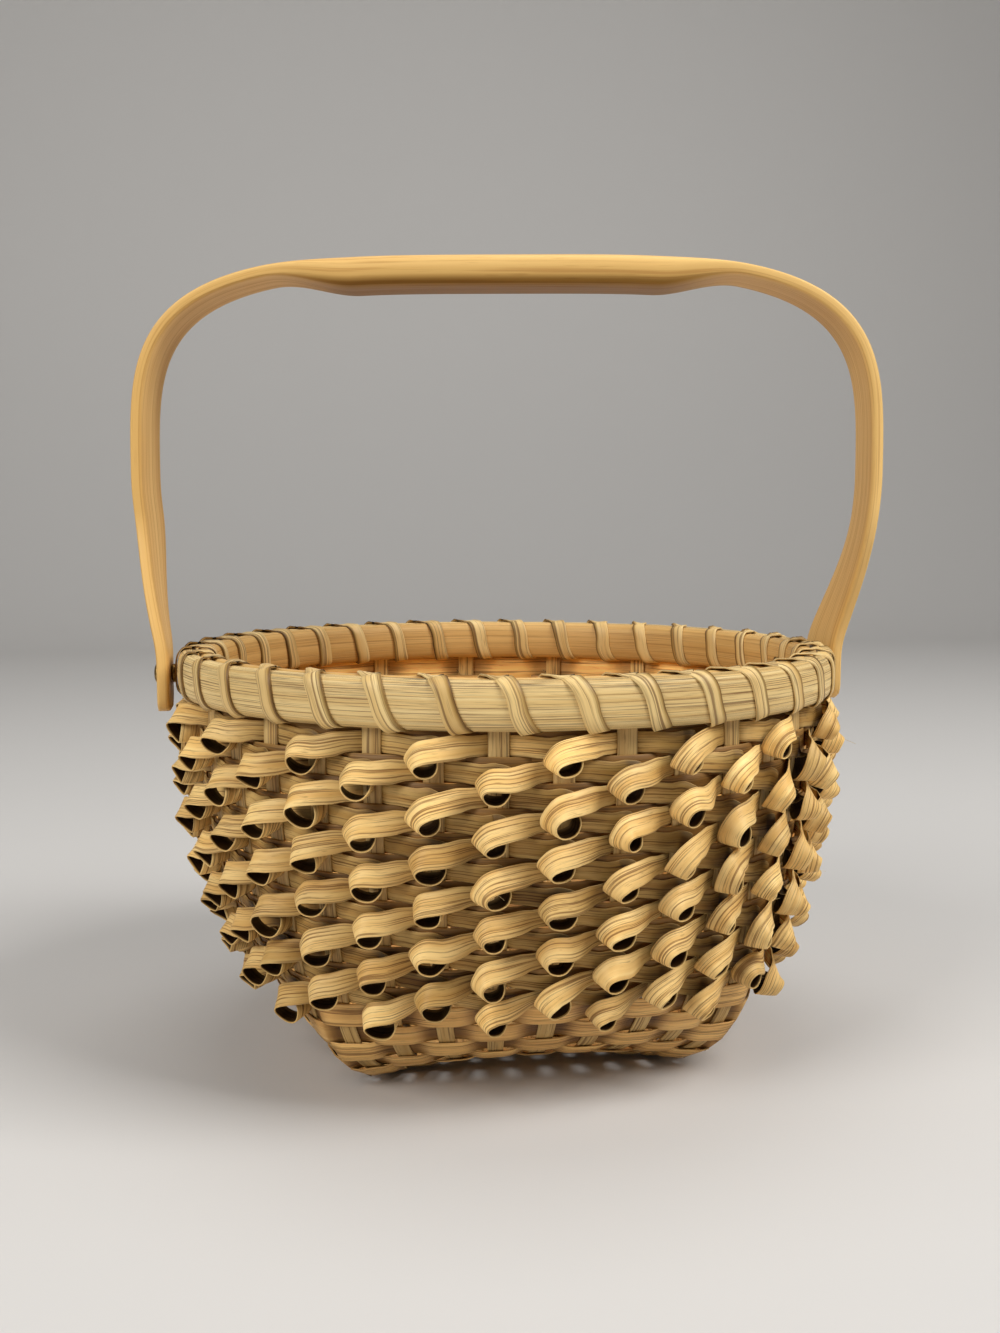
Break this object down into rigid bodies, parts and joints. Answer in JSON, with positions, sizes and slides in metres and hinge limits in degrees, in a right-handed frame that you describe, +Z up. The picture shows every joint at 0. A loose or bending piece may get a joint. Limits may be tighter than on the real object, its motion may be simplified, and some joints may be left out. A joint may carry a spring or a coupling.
{
  "type": "splint basket",
  "caption": "Round-rimmed ash splint basket on a square woven base, with an overlay of loose curls, a lashed double-hoop rim and a swing handle for carrying",
  "frame": {"origin": "on the ground under the middle of the basket", "axes": "+Z up, +X along the handle's hinge, -Y to the front"},
  "size_m": [0.2808, 0.2574, 0.2947],
  "materials": {
    "splint": "scraped ash splint, matt",
    "weaver": "scraped ash splint, matt",
    "curl": "thin ash splint, satin",
    "rim": "carved ash, matt",
    "lashing": "thin ash splint, matt",
    "handle": "steam-bent ash, satin",
    "brass": "dull brass"
  },
  "bodies": {
    "basket": {"splint_x_1": "splint", "splint_y_1": "splint", "splint_x_2": "splint", "splint_y_2": "splint", "splint_x_3": "splint", "splint_y_3": "splint", "splint_x_4": "splint", "splint_y_4": "splint", "splint_x_5": "splint", "splint_y_5": "splint", "splint_x_6": "splint", "splint_y_6": "splint", "splint_x_7": "splint", "splint_y_7": "splint", "splint_x_8": "splint", "splint_y_8": "splint", "splint_x_9": "splint", "splint_y_9": "splint", "weaver_01": "weaver", "weaver_02": "weaver", "weaver_03": "weaver", "weaver_04": "weaver", "weaver_05": "weaver", "weaver_06": "weaver", "weaver_07": "weaver", "weaver_08": "weaver", "weaver_09": "weaver", "weaver_10": "weaver", "weaver_11": "weaver", "weaver_12": "weaver", "weaver_13": "weaver", "weaver_14": "weaver", "weaver_15": "weaver", "weaver_16": "weaver", "weaver_17": "weaver", "curl_strip_01": "curl", "curl_strip_02": "curl", "curl_strip_03": "curl", "curl_strip_04": "curl", "curl_strip_05": "curl", "curl_strip_06": "curl", "curl_strip_07": "curl", "curl_strip_08": "curl", "curl_strip_09": "curl", "curl_strip_10": "curl", "curl_strip_11": "curl", "curl_strip_12": "curl", "rim_outer": "rim", "rim_inner": "rim", "rim_lashing": "lashing", "handle_rivet_left": "brass", "handle_rivet_right": "brass", "handle_washer_left": "brass", "handle_washer_right": "brass"},
    "handle": {"handle": "handle"}
  },
  "joints": [
    {"name": "handle_swing", "type": "hinge", "parent": "basket", "child": "handle", "pos_m": [0, 0, 0.13993], "axis": [1, 0, 0], "range_deg": [-120, 120]}
  ]
}
